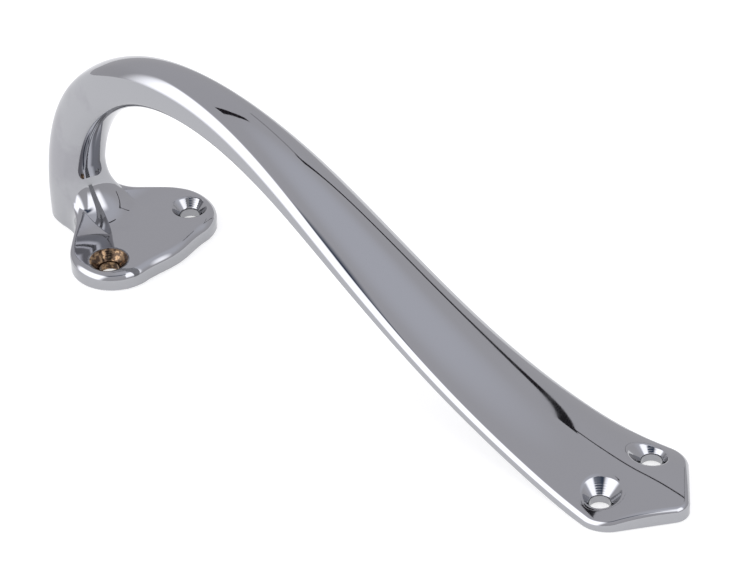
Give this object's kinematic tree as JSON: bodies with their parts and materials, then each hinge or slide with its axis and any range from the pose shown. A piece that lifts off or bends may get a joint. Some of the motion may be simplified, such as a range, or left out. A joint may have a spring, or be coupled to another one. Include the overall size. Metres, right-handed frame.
{
  "type": "sash lift handle",
  "caption": "Polished cranked pull handle: round swan-neck bow on a heart-shaped foot, widening to a crowned blade with a pointed fixing pad; countersunk holes in foot and pad.",
  "frame": {"origin": "middle of the handle's box on the face it is screwed to (Z = 0)", "axes": "+X from the foot to the pointed tip, +Y across the handle, +Z away from the sash or door"},
  "size_m": [0.2133, 0.046, 0.0623],
  "materials": {
    "chrome_plate": "polished bright plating on a brass casting"
  },
  "bodies": {
    "root": {"foot_flange": "chrome_plate", "neck": "chrome_plate", "bow": "chrome_plate", "grip_blade": "chrome_plate", "tip_pad": "chrome_plate"}
  },
  "joints": []
}
